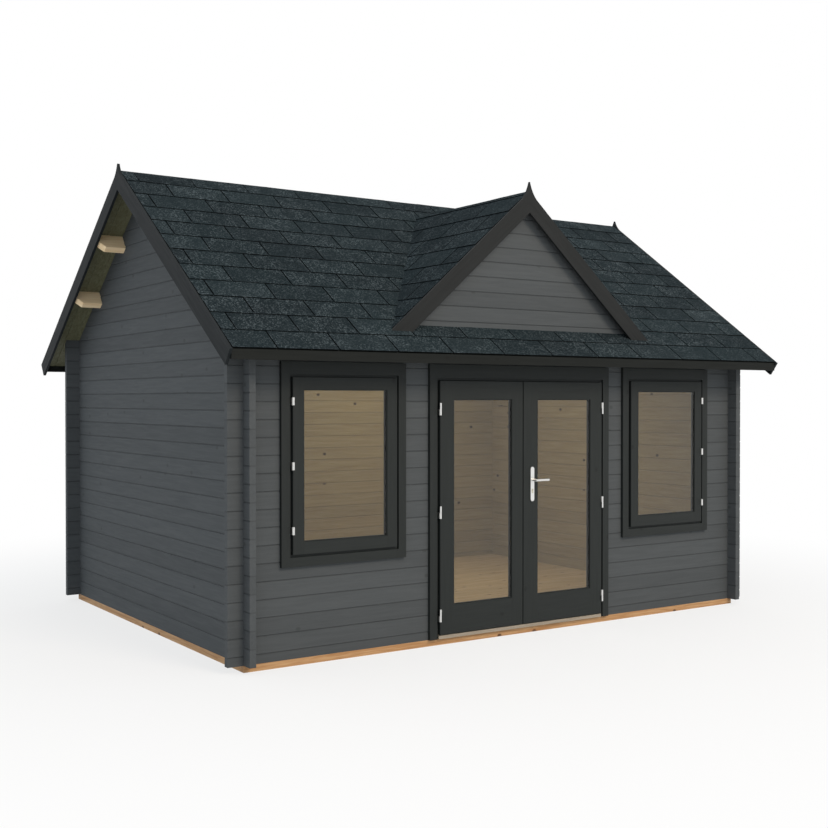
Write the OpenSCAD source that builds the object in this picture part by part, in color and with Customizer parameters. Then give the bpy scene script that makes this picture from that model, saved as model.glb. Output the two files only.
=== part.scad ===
// Garden log cabin with a cross-gable dormer over a glazed double door.
// Millimetres, +Z up, the front looks along -Y.
// The origin is on the ground, in the middle of the four walls.

/* [Logs] */
// Height of one wall log, from joint to joint
log_h = 114; // [100:1:140]
// Thickness of a wall log
log_t = 44; // [34:1:60]
// How far the front and back logs run past the side walls
side_tail = 109; // [60:1:150]
// How far the side logs run past the front and back walls
front_tail = 88; // [60:1:150]
// Depth of the V groove along each log joint
groove_d = 4; // [2:0.5:6]
// Half the height of that groove
groove_h = 6; // [4:0.5:12]

/* [Footprint] */
// Width over the outer faces of the side walls
cabin_w = 4490; // [4300:10:5200]
// Depth over the outer faces of the front and back walls
cabin_d = 3266; // [2800:2:4000]
// Height of the foundation beams
beam_h = 45; // [35:1:80]
// Width of the foundation beams
beam_w = 70; // [60:1:120]
// Thickness of the floor boards
floor_t = 19; // [16:1:28]
// Gap between the floor and the walls
floor_gap = 3; // [1:1:8]
// Number of joists under the floor
joist_count = 7; // [3:1:10]

/* [Roof] */
// From the lintel up to the roof boards, at the outer face of the front wall
wall_over = 259; // [220:1:400]
// Slope of the main roof
roof_pitch = 35.4; // [33:0.1:37]
// Thickness of the roof boards, felt and shingles left out
roof_t = 20; // [16:1:28]
// Play between sloping pieces that rest on each other
slope_gap = 0.1; // [0.05:0.05:0.5]
// From the gable wall to the outer face of the bargeboards
gable_overhang = 226; // [150:1:320]
// From the front wall to the outer face of the fascia
eave_overhang = 275; // [200:1:340]
// Height of the fascia at its outer face
fascia_h = 62; // [50:1:90]
// Thickness of the fascias and bargeboards
trim_t = 20; // [16:1:28]
// Width of the bargeboards
barge_w = 115; // [90:1:150]
// How far the bargeboards stand above the roof boards, measured straight up
barge_rise = 12; // [4:1:24]
// How far the bargeboards run past the fascia
barge_past = 18; // [5:1:40]
// Height of the pointed top above the bargeboards' slopes
spike_h = 48; // [20:1:120]
// Half the width of the pointed top
spike_w = 62; // [40:1:120]
// Width of a purlin
purlin_w = 58; // [40:1:90]
// Depth of a purlin, square to the roof boards
purlin_d = 118; // [100:1:140]
// From the ridge down the slope to the middle of the upper purlins
upper_purlin = 668; // [630:1:750]
// From the ridge down the slope to the middle of the lower purlins
lower_purlin = 1340; // [1200:1:1450]
// How far the lower edge of a purlin's end is cut back
purlin_bevel = 52; // [20:1:80]

/* [Dormer] */
// How far the dormer's ridge lies below the main one
ridge_step = 163; // [100:1:300]
// Slope of the dormer roof
dormer_pitch = 41.3; // [38:0.1:45]
// From the front wall to the outer face of the dormer's bargeboards
dormer_overhang = 74; // [50:1:150]
// Height of the boards on the dormer's gable
gable_board_h = 110; // [80:1:140]
// Thickness of those boards
gable_board_t = 22; // [18:1:30]
// Height of the pointed top of the dormer's bargeboards
dormer_spike_h = 70; // [20:1:120]

/* [Doors] */
// Place of the middle of the doorway, from the middle of the front
door_x = -10; // [-60:1:60]
// Width of one door leaf
leaf_w = 750; // [700:1:850]
// Height of a door leaf
leaf_h = 1765; // [1650:1:2100]
// Thickness of a door leaf
leaf_t = 42; // [38:1:48]
// How far the leaves stand in front of the wall
leaf_proud = 32; // [28:1:40]
// Height of the leaves above the foundation beams
leaf_lift = 31; // [30:1:40]
// Gap between a leaf and its frame
leaf_gap = 5; // [5:0.5:8]
// Gap between the two leaves
meeting_gap = 8; // [8:0.5:12]
// How far the meeting stile of the right leaf reaches past the middle
meeting_lap = 17; // [0:1:40]
// Width of the door stiles
stile_w = 122; // [100:1:150]
// Height of the top rail of a leaf
top_rail = 134; // [100:1:180]
// Height of the bottom rail of a leaf
bottom_rail = 205; // [150:1:300]
// Thickness of the threshold
threshold_t = 24; // [12:1:25]
// Least height of the door's head, up to the lintel
head_min = 80; // [60:1:110]

/* [Windows] */
// Share of the bare wall that lies between the doorway and the left window
left_share = 0.438; // [0.2:0.001:0.7]
// Share of the bare wall that lies between the doorway and the right window
right_share = 0.322; // [0.2:0.001:0.7]
// Width of a sash
sash_w = 790; // [740:1:800]
// Height of a sash
sash_h = 1136; // [900:1:1300]
// From the top of the sashes up to the lintel
sash_below = 72; // [50:1:90]
// Least height of the frame under the sashes
sill_min = 40; // [30:1:60]
// Width of the sash stiles and rails
sash_rail = 84; // [60:1:110]
// Gap between a sash and its frame
sash_gap = 3; // [2:0.5:5]

/* [Frames] */
// Width of the architraves round the doors and windows
architrave_w = 76; // [60:1:90]
// Thickness of the outer architraves
architrave_t = 24; // [18:1:27]
// Width of the step in the outer architraves, round the leaves and sashes
step_w = 16; // [13:1:20]
// Depth of that step
step_d = 15; // [8:1:17]
// Thickness of the inner architraves
inner_trim_t = 16; // [12:1:22]
// Thickness of the frame lining inside the log opening
lining_t = 30; // [24:1:40]
// How far the stops reach behind a leaf or sash
stop_lap = 12; // [8:1:20]
// How far the head architrave rises above the lintel joint
head_lap = 30; // [15:1:45]
// Thickness of the glass units
glass_t = 14; // [6:1:18]
// How far the glass is let into its rails
glass_in = 10; // [6:1:14]
// Depth of the step round the glass
bead_d = 6; // [4:1:8]
// Width of that step
bead_w = 6; // [4:1:9]
// Thickness of the lip in front of the glass
glass_lip = 3; // [2:0.5:4]

/* [Hardware] */
// Height of a whole door hinge
hinge_h = 86; // [60:1:120]
// Radius of the hinge knuckles
knuckle_r = 7; // [5.5:0.5:9]
// Radius of the hinge pins
pin_r = 4; // [3:0.5:4.5]
// Running clearance of pins and spindles
run_gap = 0.3; // [0.2:0.05:0.5]
// Length of the pin that stays below the top of the sleeve
pin_short = 3; // [1:0.5:5]
// Width of the feet that join a hinge to its leaf and frame
foot_w = 9; // [8:0.5:12]
// From the foot of a leaf up to its lowest hinge
hinge_foot = 135; // [100:1:250]
// From the top of a leaf down to its highest hinge
hinge_head = 196; // [100:1:300]
// Height of a window hinge
window_hinge_h = 50; // [40:1:70]
// From the ends of a sash to the middle of its outer hinges
window_hinge_in = 154; // [80:1:250]
// Height of the lever's spindle above the foundation beams
lever_z = 1078; // [1000:1:1150]
// Length of the lever from its spindle
lever_l = 118; // [90:1:140]
// Height of the handle plate
plate_h = 252; // [200:1:280]
// Width of the handle plate
plate_w = 34; // [28:1:44]
// Thickness of the handle plates
plate_t = 8; // [5:1:12]
// How far the spindle lies above the middle of the plate
spindle_up = 30; // [0:1:60]
// How far the lever stands out from its plate
lever_out = 48; // [38:1:60]
// Radius of the lever's rod
lever_r = 9; // [7:0.5:11]
// Radius of the spindle
spindle_r = 5; // [4:0.5:6]

/* [Hidden] */
$fn = 48;
eps = 0.01;
half_w = cabin_w / 2;
half_d = cabin_d / 2;
wall_z = beam_h;
tan_roof = tan(roof_pitch);
cos_roof = cos(roof_pitch);
tan_dormer = tan(dormer_pitch);
cos_dormer = cos(dormer_pitch);
roof_drop = roof_t / cos_roof;
dormer_drop = roof_t / cos_dormer;
leaf_foot = wall_z + leaf_lift;
leaf_top = leaf_foot + leaf_h;
// The lintel is the first half log that leaves room for the door's head
logs_to_lintel = ceil((leaf_top + head_min - wall_z) / log_h - 0.5);
lintel_level = wall_z + (logs_to_lintel + 0.5) * log_h;
ridge_h = lintel_level + wall_over + roof_drop + half_d * tan_roof;
dormer_ridge_h = ridge_h - ridge_step;
// Half the length of everything that runs between the bargeboards
roof_x = half_w + gable_overhang - trim_t;
eave_y = half_d + eave_overhang;
barge_y = eave_y + barge_past;
eave_logs = floor((ridge_h - roof_drop - half_d * tan_roof - wall_z) / log_h);
gable_logs = ceil((ridge_h - wall_z) / log_h);
neck = log_h / 2;
// Door, measured from the middle of the doorway
leaf_edge = leaf_w + meeting_gap / 2;
frame_edge = leaf_edge + leaf_gap;
door_cut = frame_edge + lining_t;
door_trim = frame_edge + architrave_w;
leaf_front = -half_d - leaf_proud;
leaf_back = leaf_front + leaf_t;
hinge_x = leaf_edge + leaf_gap / 2;
hinge_y = leaf_front - knuckle_r - 1;
trim_front = -half_d - architrave_t;
step_y = trim_front + step_d;
inner_face = -half_d + log_t;
trim_back = inner_face + inner_trim_t;
stop_y = leaf_back + leaf_gap;
head_top = lintel_level + head_lap;
glass_y = leaf_front + bead_d + glass_lip;
lever_x = door_x + meeting_gap / 2 + stile_w / 2;
spindle_z = wall_z + lever_z;
// Windows, measured from the middle of a window
window_edge = sash_w / 2 + sash_gap;
window_cut = window_edge + lining_t;
window_trim = window_edge + architrave_w;
bare_wall = half_w - door_trim - 2 * window_trim;
left_window_x = round(door_x - door_trim - window_trim - left_share * (bare_wall + door_x));
right_window_x = round(door_x + door_trim + window_trim + right_share * (bare_wall - door_x));
sash_top = lintel_level - sash_below;
sash_foot = sash_top - sash_h;
logs_to_sill = floor((sash_foot - sill_min - wall_z) / log_h - 0.5);
sill_level = wall_z + (logs_to_sill + 0.5) * log_h;
hinge_rows = [0, 0.5, 1];

function roof_top(y) = ridge_h - tan_roof * abs(y);
function roof_under(y) = roof_top(y) - roof_drop;
function dormer_top(x) = dormer_ridge_h - tan_dormer * abs(x);
function dormer_under(x) = dormer_top(x) - dormer_drop;

// A flat shape drawn in Y and Z, carried along X
module along_x(x0, x1) {
    translate([x0, 0, 0]) rotate([90, 0, 90]) linear_extrude(x1 - x0) children();
}

// A flat shape drawn in X and Z, carried along Y
module along_y(y0, y1) {
    translate([0, y1, 0]) rotate([90, 0, 0]) linear_extrude(y1 - y0) children();
}

module block(x0, x1, y0, y1, z0, z1) {
    translate([x0, y0, z0]) cube([x1 - x0, y1 - y0, z1 - z0]);
}

module both_sides() {
    children();
    mirror([1, 0, 0]) children();
}

// Cross-section of stacked logs: flat faces with a V groove at every joint
module log_stack(thick, pitch, first, count) {
    joints = [for (k = [0 : count - 1]) first + k * pitch];
    outer = [for (z = joints) each [[0, z - groove_h], [groove_d, z], [0, z + groove_h]]];
    inner = [for (i = [1 : len(outer)]) let (p = outer[len(outer) - i]) [thick - p[0], p[1]]];
    top = joints[count - 1] + pitch;
    polygon(concat([[0, 0]], outer, [[0, top], [thick, top]], inner, [[thick, 0]]));
}

// The space under the roof boards, seen from the side
module under_roof() {
    reach = half_d + front_tail + log_h;
    low = roof_under(reach) - slope_gap;
    polygon([[-reach, 0], [reach, 0], [reach, low], [0, roof_under(0) - slope_gap], [-reach, low]]);
}

// Logs cross at the corners by half laps: each keeps a neck of half its height.
// The necks of the front and back logs lie half a log below those of the side logs.
module corner_necks(size, first, count, tall) {
    for (sx = [-1, 1], sy = [-1, 1], k = [0 : count - 1])
        translate([sx * (half_w - log_t / 2), sy * (half_d - log_t / 2), first + k * log_h])
            translate([-size[0] / 2, -size[1] / 2, 0])
                cube([size[0], size[1], k == count - 1 ? tall : neck]);
}

module side_necks() {
    corner_necks([log_t, 3 * log_t], wall_z + log_h / 4, eave_logs + 1, 3 * log_h);
}

module cross_necks() {
    corner_necks([3 * log_t, log_t], wall_z - log_h / 4, eave_logs + 1, neck);
}

// A stretch of the front wall between two places and two heights
module front_logs(x0, x1, z0, z1) {
    difference() {
        intersection() {
            along_x(x0, x1)
                translate([-half_d, wall_z])
                    log_stack(log_t, log_h, log_h / 2, eave_logs + 1);
            along_x(x0 - 1, x1 + 1) under_roof();
            block(x0 - 1, x1 + 1, -half_d - 1, -half_d + log_t + 1, z0, z1);
        }
        side_necks();
    }
}

// A side wall with its gable, whole from beam to ridge
module gable_wall() {
    y_end = half_d + front_tail;
    difference() {
        intersection() {
            along_y(-y_end, y_end)
                translate([-half_w, wall_z])
                    log_stack(log_t, log_h, log_h, gable_logs);
            along_x(-half_w - 1, -half_w + log_t + 1) under_roof();
        }
        cross_necks();
        side_purlin_shapes(log_h);
        ridge_shape(log_h);
    }
}

// A beam along X with its top at zero and its ends cut back below.
// The spare makes it longer and taller, to cut its notch in a wall.
module purlin_bar(spare) {
    x = roof_x + spare - slope_gap;
    along_y(-purlin_w / 2, purlin_w / 2)
        polygon([[-x, spare], [x, spare], [x, purlin_bevel - purlin_d], [x - purlin_bevel, -purlin_d],
                 [purlin_bevel - x, -purlin_d], [-x, purlin_bevel - purlin_d]]);
}

// The side purlins stand square to the slope they carry
module side_purlin_shapes(spare = 0) {
    for (side = [0, 1], down = [upper_purlin, lower_purlin])
        mirror([0, side, 0])
            translate([0, 0, roof_under(0) - slope_gap]) rotate([-roof_pitch, 0, 0])
                translate([0, down, 0]) purlin_bar(spare);
}

module ridge_shape(spare = 0) {
    w = purlin_w / 2;
    x = roof_x + spare;
    low = roof_under(0) - purlin_d - 1;
    intersection() {
        translate([0, 0, roof_under(0)]) purlin_bar(spare);
        translate([0, 0, spare - slope_gap])
            along_x(-x - 1, x + 1)
                polygon([[-w - 1, low - spare], [w + 1, low - spare], [w + 1, roof_under(w + 1)],
                         [0, roof_under(0)], [-w - 1, roof_under(w + 1)]]);
    }
}

// One slope of the main roof, from the ridge to the back of the fascia
module roof_slope() {
    y = eave_y - trim_t;
    along_x(-roof_x, roof_x)
        polygon([[0, roof_top(0)], [0, roof_under(0)], [-y, roof_under(y)], [-y, roof_top(y)]]);
}

module fascia_board() {
    y = eave_y - trim_t;
    low = roof_top(eave_y) - fascia_h;
    along_x(-roof_x, roof_x)
        polygon([[-eave_y, low], [-y, low], [-y, roof_top(y)], [-eave_y, roof_top(eave_y)]]);
}

// Half a pair of bargeboards, drawn with the ridge on the right.
// The top sweeps up in a hollow curve to a point over the ridge.
module barge_outline(reach, apex, pitch, rise) {
    steps = 6;
    foot = [-reach, apex - reach * tan(pitch)];
    heel = foot + barge_w * [sin(pitch), -cos(pitch)];
    kink = [-spike_w, apex - spike_w * tan(pitch)];
    bend = [-spike_w * 0.3, kink[1] + (rise + spike_w * tan(pitch)) * 0.4];
    tip = [0, apex + rise];
    sweep = [for (i = [0 : steps]) let (u = i / steps)
        kink * (1 - u) * (1 - u) + bend * 2 * u * (1 - u) + tip * u * u];
    polygon(concat([heel, foot], sweep, [[0, apex - barge_w / cos(pitch)]]));
}

module gable_bargeboard() {
    along_x(-roof_x - trim_t, -roof_x)
        barge_outline(barge_y, ridge_h + barge_rise, roof_pitch, spike_h);
}

// Everything under the top of the main roof's front slope
module below_front_slope() {
    y = eave_y + log_h;
    along_x(-half_w, half_w)
        translate([0, slope_gap])
            polygon([[-y, roof_top(y)], [0, roof_top(0)], [0, wall_z], [-y, wall_z]]);
}

module dormer_slope() {
    reach = (dormer_ridge_h - lintel_level) / tan_dormer;
    difference() {
        along_y(-half_d - dormer_overhang + trim_t, 0)
            polygon([[0, dormer_top(0)], [0, dormer_under(0)],
                     [-reach, dormer_under(reach)], [-reach, dormer_top(reach)]]);
        below_front_slope();
    }
}

module dormer_barge() {
    reach = (dormer_ridge_h - lintel_level) / tan_dormer;
    difference() {
        along_y(-half_d - dormer_overhang, -half_d - dormer_overhang + trim_t)
            barge_outline(reach, dormer_ridge_h + barge_rise, dormer_pitch, dormer_spike_h);
        below_front_slope();
    }
}

// Section of a door jamb: stepped outer architrave, rebate, stop and inner architrave
module jamb_section() {
    polygon([[-door_trim, trim_front], [-frame_edge - step_w, trim_front],
             [-frame_edge - step_w, step_y], [-frame_edge, step_y], [-frame_edge, stop_y],
             [-leaf_edge + stop_lap, stop_y], [-leaf_edge + stop_lap, trim_back],
             [-door_trim, trim_back], [-door_trim, inner_face], [-door_cut, inner_face],
             [-door_cut, -half_d], [-door_trim, -half_d]]);
}

module door_jamb() {
    translate([door_x, 0, wall_z]) linear_extrude(leaf_top + leaf_gap - wall_z) jamb_section();
}

// Window frame: lining with an architrave on each face, the outer one stepped, and a stop
// behind the sash
module window_frame(x) {
    low = sash_foot - sash_gap;
    high = sash_top + sash_gap;
    translate([x, 0, 0])
        difference() {
            union() {
                block(-window_trim, window_trim, trim_front, -half_d, low - architrave_w, head_top);
                block(-window_cut, window_cut, -half_d, inner_face, sill_level, lintel_level);
                block(-window_trim, window_trim, inner_face, trim_back, low - architrave_w, head_top);
            }
            block(-window_edge, window_edge, trim_front - 1, leaf_back, low, high);
            block(-window_edge - step_w, window_edge + step_w, trim_front - 1, step_y,
                  low - step_w, high + step_w);
            block(stop_lap - sash_w / 2, sash_w / 2 - stop_lap, leaf_back - 1, trim_back + 1,
                  sash_foot + stop_lap, sash_top - stop_lap);
        }
}

// A glazed leaf or sash: rails round an opening, stepped back at the glass
module glazed_panel(x0, x1, z0, z1, side, top, bottom) {
    difference() {
        block(x0, x1, leaf_front, leaf_back, z0, z1);
        block(x0 + side, x1 - side, leaf_front - 1, leaf_back + 1, z0 + bottom, z1 - top);
        block(x0 + side - bead_w, x1 - side + bead_w, leaf_front - 1, leaf_front + bead_d,
              z0 + bottom - bead_w, z1 - top + bead_w);
        block(x0 + side - glass_in, x1 - side + glass_in, glass_y, glass_y + glass_t,
              z0 + bottom - glass_in, z1 - top + glass_in);
    }
}

module glass_unit(x0, x1, z0, z1, side, top, bottom) {
    block(x0 + side - glass_in, x1 - side + glass_in, glass_y, glass_y + glass_t,
          z0 + bottom - glass_in, z1 - top + glass_in);
}

module window_sash(x) {
    glazed_panel(x - sash_w / 2, x + sash_w / 2, sash_foot, sash_top,
                 sash_rail, sash_rail, sash_rail);
}

module window_pane(x) {
    glass_unit(x - sash_w / 2, x + sash_w / 2, sash_foot, sash_top,
               sash_rail, sash_rail, sash_rail);
}

// Left leaf as drawn from the middle of the doorway; the right one is its mirror.
// Both have the same glass, and the right meeting stile takes the lap of the left.
module door_leaf() {
    glazed_panel(-leaf_edge, -meeting_gap / 2, leaf_foot, leaf_top,
                 stile_w, top_rail, bottom_rail);
}

module meeting_strip() {
    block(-meeting_gap / 2 - meeting_lap, -meeting_gap / 2, leaf_front - 1, leaf_back + 1,
          leaf_foot - 1, leaf_top + 1);
}

module door_pane() {
    glass_unit(-leaf_edge, -meeting_gap / 2, leaf_foot, leaf_top,
               stile_w, top_rail, bottom_rail);
}

// Lower half of a lift-off hinge: knuckle and pin with a foot on the frame
module hinge_post() {
    half = hinge_h / 2 - run_gap;
    translate([-hinge_x, hinge_y, -hinge_h / 2]) {
        cylinder(r = knuckle_r, h = half);
        cylinder(r = pin_r, h = hinge_h - pin_short);
    }
    block(-hinge_x - foot_w, -frame_edge, hinge_y, step_y, -hinge_h / 2, -run_gap);
}

// Upper half: a sleeve that drops over the pin, with its foot on the leaf
module hinge_sleeve() {
    difference() {
        union() {
            translate([-hinge_x, hinge_y, 0]) cylinder(r = knuckle_r, h = hinge_h / 2);
            block(-hinge_x, -hinge_x + foot_w, hinge_y, leaf_front, 0, hinge_h / 2);
        }
        translate([-hinge_x, hinge_y, -1]) cylinder(r = pin_r + run_gap, h = hinge_h / 2 + 2);
    }
}

module at_hinges() {
    for (row = hinge_rows)
        translate([0, 0, leaf_foot + hinge_foot + row * (leaf_h - hinge_foot - hinge_head)])
            children();
}

// Closed hinge on the left edge of a sash, with feet on the sash and its frame
module window_hinge() {
    half = window_hinge_h / 2;
    seam = sash_w / 2 + sash_gap / 2;
    for (row = hinge_rows)
        translate([0, 0, sash_foot + window_hinge_in + row * (sash_h - 2 * window_hinge_in)]) {
            translate([-seam, hinge_y, -half]) cylinder(r = knuckle_r, h = window_hinge_h);
            block(-seam, -seam + foot_w, hinge_y, leaf_front, -half, half);
            block(-seam - foot_w, -window_edge, hinge_y, step_y, -half, half);
        }
}

module handle_plate(y0, y1) {
    low = spindle_z - spindle_up - plate_h / 2 + plate_w / 2;
    high = spindle_z - spindle_up + plate_h / 2 - plate_w / 2;
    difference() {
        union() {
            block(lever_x - plate_w / 2, lever_x + plate_w / 2, y0, y1, low, high);
            for (z = [low, high])
                translate([lever_x, y1, z]) rotate([90, 0, 0]) cylinder(r = plate_w / 2, h = y1 - y0);
        }
        spindle_bore();
    }
}

module spindle_bore() {
    translate([lever_x, leaf_back + lever_out, spindle_z])
        rotate([90, 0, 0]) cylinder(r = spindle_r + run_gap, h = leaf_t + 2 * lever_out);
}

// One grip: a neck out of the plate and a rod with chamfered ends
module lever_grip(y_plate, away) {
    y_rod = y_plate + away * lever_out;
    bevel = lever_r / 3;
    translate([lever_x, max(y_plate, y_rod), spindle_z])
        rotate([90, 0, 0]) cylinder(r = lever_r, h = lever_out);
    translate([lever_x - lever_r, y_rod, spindle_z]) rotate([0, 90, 0]) {
        cylinder(r1 = lever_r - bevel, r2 = lever_r, h = bevel);
        translate([0, 0, bevel]) cylinder(r = lever_r, h = lever_l + lever_r - 2 * bevel);
        translate([0, 0, lever_l + lever_r - bevel])
            cylinder(r1 = lever_r, r2 = lever_r - bevel, h = bevel);
    }
}

module long_foundation_beams() {
    color("burlywood") {
        block(-half_w, half_w, -half_d, -half_d + beam_w, 0, beam_h);
        block(-half_w, half_w, half_d - beam_w, half_d, 0, beam_h);
    }
}

module short_foundation_beams() {
    color("burlywood")
        both_sides()
            block(-half_w, -half_w + beam_w, -half_d + beam_w, half_d - beam_w, 0, beam_h);
}

module floor_joists() {
    bay = (cabin_w - 2 * beam_w) / (joist_count + 1);
    color("burlywood")
        for (i = [1 : joist_count])
            translate([-half_w + beam_w + i * bay - beam_h / 2, -half_d + beam_w, 0])
                cube([beam_h, cabin_d - 2 * beam_w, beam_h]);
}

module floor() {
    x = half_w - log_t - floor_gap;
    y = half_d - log_t - floor_gap;
    color("tan") difference() {
        block(-x, x, -y, y, wall_z, wall_z + floor_t);
        block(door_x - door_trim - floor_gap, door_x + door_trim + floor_gap, -half_d,
              trim_back + floor_gap, wall_z - 1, wall_z + floor_t + 1);
    }
}

module left_wall() { color("dimgray") gable_wall(); }

module right_wall() { color("dimgray") mirror([1, 0, 0]) gable_wall(); }

module back_wall() {
    color("dimgray") mirror([0, 1, 0])
        front_logs(-half_w - side_tail, half_w + side_tail, wall_z, ridge_h);
}

module front_wall_left_lower() {
    color("dimgray") front_logs(-half_w - side_tail, door_x - door_cut, wall_z, sill_level);
}

module front_wall_left_end() {
    color("dimgray")
        front_logs(-half_w - side_tail, left_window_x - window_cut, sill_level, lintel_level);
}

module front_wall_left_pier() {
    color("dimgray")
        front_logs(left_window_x + window_cut, door_x - door_cut, sill_level, lintel_level);
}

module front_wall_right_lower() {
    color("dimgray") front_logs(door_x + door_cut, half_w + side_tail, wall_z, sill_level);
}

module front_wall_right_end() {
    color("dimgray")
        front_logs(right_window_x + window_cut, half_w + side_tail, sill_level, lintel_level);
}

module front_wall_right_pier() {
    color("dimgray")
        front_logs(door_x + door_cut, right_window_x - window_cut, sill_level, lintel_level);
}

module front_wall_top() {
    color("dimgray")
        front_logs(-half_w - side_tail, half_w + side_tail, lintel_level, ridge_h);
}

module ridge_purlin() { color("burlywood") ridge_shape(); }

module side_purlins() { color("burlywood") side_purlin_shapes(); }

module front_roof() { color("darkslategray") roof_slope(); }

module back_roof() { color("darkslategray") mirror([0, 1, 0]) roof_slope(); }

module front_fascia() { color([0.16, 0.165, 0.16]) fascia_board(); }

module back_fascia() { color([0.16, 0.165, 0.16]) mirror([0, 1, 0]) fascia_board(); }

module front_bargeboards() { color([0.19, 0.2, 0.21]) both_sides() gable_bargeboard(); }

module back_bargeboards() {
    color([0.19, 0.2, 0.21]) mirror([0, 1, 0]) both_sides() gable_bargeboard();
}

module dormer_gable() {
    reach = (dormer_ridge_h - lintel_level) / tan_dormer;
    rows = ceil((dormer_ridge_h - lintel_level) / gable_board_h);
    color("gray") difference() {
        intersection() {
            along_x(-reach, reach)
                translate([-half_d, lintel_level])
                    log_stack(gable_board_t, gable_board_h, gable_board_h, rows);
            along_y(-half_d - 1, -half_d + gable_board_t + 1)
                polygon([[-reach, dormer_under(reach)], [reach, dormer_under(reach)],
                         [0, dormer_under(0)]]);
        }
        below_front_slope();
    }
}

module dormer_left_roof() { color("darkslategray") dormer_slope(); }

module dormer_right_roof() { color("darkslategray") mirror([1, 0, 0]) dormer_slope(); }

module dormer_left_bargeboard() { color([0.19, 0.2, 0.21]) dormer_barge(); }

module dormer_right_bargeboard() { color([0.19, 0.2, 0.21]) mirror([1, 0, 0]) dormer_barge(); }

module door_left_jamb() { color([0.2, 0.21, 0.21]) door_jamb(); }

module door_right_jamb() {
    color([0.2, 0.21, 0.21])
        translate([door_x, 0, 0]) mirror([1, 0, 0]) translate([-door_x, 0, 0]) door_jamb();
}

module door_head() {
    low = leaf_top + leaf_gap;
    stop = leaf_edge - stop_lap;
    color([0.2, 0.21, 0.21]) translate([door_x, 0, 0]) {
        difference() {
            block(-door_trim, door_trim, trim_front, -half_d, low, head_top);
            block(-frame_edge - step_w, frame_edge + step_w, trim_front - 1, step_y,
                  low - 1, low + step_w);
        }
        block(-door_cut, door_cut, -half_d, inner_face, low, lintel_level);
        block(-door_trim, door_trim, inner_face, trim_back, low, head_top);
        block(-stop, stop, stop_y, trim_back, leaf_top - stop_lap, low);
    }
}

module door_threshold() {
    stop = leaf_edge - stop_lap;
    color("silver") translate([door_x, 0, wall_z]) linear_extrude(threshold_t)
        polygon([[-frame_edge, trim_front], [frame_edge, trim_front], [frame_edge, stop_y],
                 [stop, stop_y], [stop, trim_back], [-stop, trim_back], [-stop, stop_y],
                 [-frame_edge, stop_y]]);
}

module left_window_frame() { color([0.2, 0.21, 0.21]) window_frame(left_window_x); }

module right_window_frame() { color([0.2, 0.21, 0.21]) window_frame(right_window_x); }

module left_window_sash() { color([0.2, 0.21, 0.21]) window_sash(left_window_x); }

module right_window_sash() { color([0.2, 0.21, 0.21]) window_sash(right_window_x); }

module window_glass() {
    color([0.6, 0.65, 0.65, 0.5]) {
        window_pane(left_window_x);
        window_pane(right_window_x);
    }
}

module window_hinges() {
    color("silver") {
        translate([left_window_x, 0, 0]) window_hinge();
        translate([right_window_x, 0, 0]) mirror([1, 0, 0]) window_hinge();
    }
}

module door_hinge_posts() {
    color("silver") translate([door_x, 0, 0]) both_sides() at_hinges() hinge_post();
}

module left_door_leaf() {
    color([0.2, 0.21, 0.21]) translate([door_x, 0, 0]) difference() {
        door_leaf();
        meeting_strip();
    }
}

module left_door_glass() {
    color([0.6, 0.65, 0.65, 0.5]) translate([door_x, 0, 0]) door_pane();
}

module left_hinge_sleeves() {
    color("silver") translate([door_x, 0, 0]) at_hinges() hinge_sleeve();
}

module right_door_leaf() {
    color([0.2, 0.21, 0.21]) difference() {
        translate([door_x, 0, 0]) {
            mirror([1, 0, 0]) door_leaf();
            block(meeting_gap / 2 - meeting_lap, meeting_gap / 2, leaf_front, leaf_back,
                  leaf_foot, leaf_top);
        }
        spindle_bore();
    }
}

module right_door_glass() {
    color([0.6, 0.65, 0.65, 0.5]) translate([door_x, 0, 0]) mirror([1, 0, 0]) door_pane();
}

module right_hinge_sleeves() {
    color("silver") translate([door_x, 0, 0]) mirror([1, 0, 0]) at_hinges() hinge_sleeve();
}

module handle_plates() {
    color("silver") {
        handle_plate(leaf_front - plate_t, leaf_front);
        handle_plate(leaf_back, leaf_back + plate_t);
    }
}

module door_lever() {
    outer = leaf_front - plate_t - run_gap;
    inner = leaf_back + plate_t + run_gap;
    color("silver") {
        translate([lever_x, inner + eps, spindle_z])
            rotate([90, 0, 0]) cylinder(r = spindle_r, h = inner - outer + 2 * eps);
        lever_grip(outer, -1);
        lever_grip(inner, 1);
    }
}

long_foundation_beams();
short_foundation_beams();
floor_joists();
floor();
left_wall();
right_wall();
back_wall();
front_wall_left_lower();
front_wall_left_end();
front_wall_left_pier();
front_wall_right_lower();
front_wall_right_end();
front_wall_right_pier();
front_wall_top();
ridge_purlin();
side_purlins();
front_roof();
back_roof();
front_fascia();
back_fascia();
front_bargeboards();
back_bargeboards();
dormer_gable();
dormer_left_roof();
dormer_right_roof();
dormer_left_bargeboard();
dormer_right_bargeboard();
door_left_jamb();
door_right_jamb();
door_head();
door_threshold();
left_window_frame();
right_window_frame();
left_window_sash();
right_window_sash();
window_glass();
window_hinges();
door_hinge_posts();
left_door_leaf();
left_door_glass();
left_hinge_sleeves();
right_door_leaf();
right_door_glass();
right_hinge_sleeves();
handle_plates();
door_lever();
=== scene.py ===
"""A grey garden log cabin with a cross-gable dormer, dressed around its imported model."""
import math

import bmesh
import bpy
from mathutils import Matrix, Vector


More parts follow.
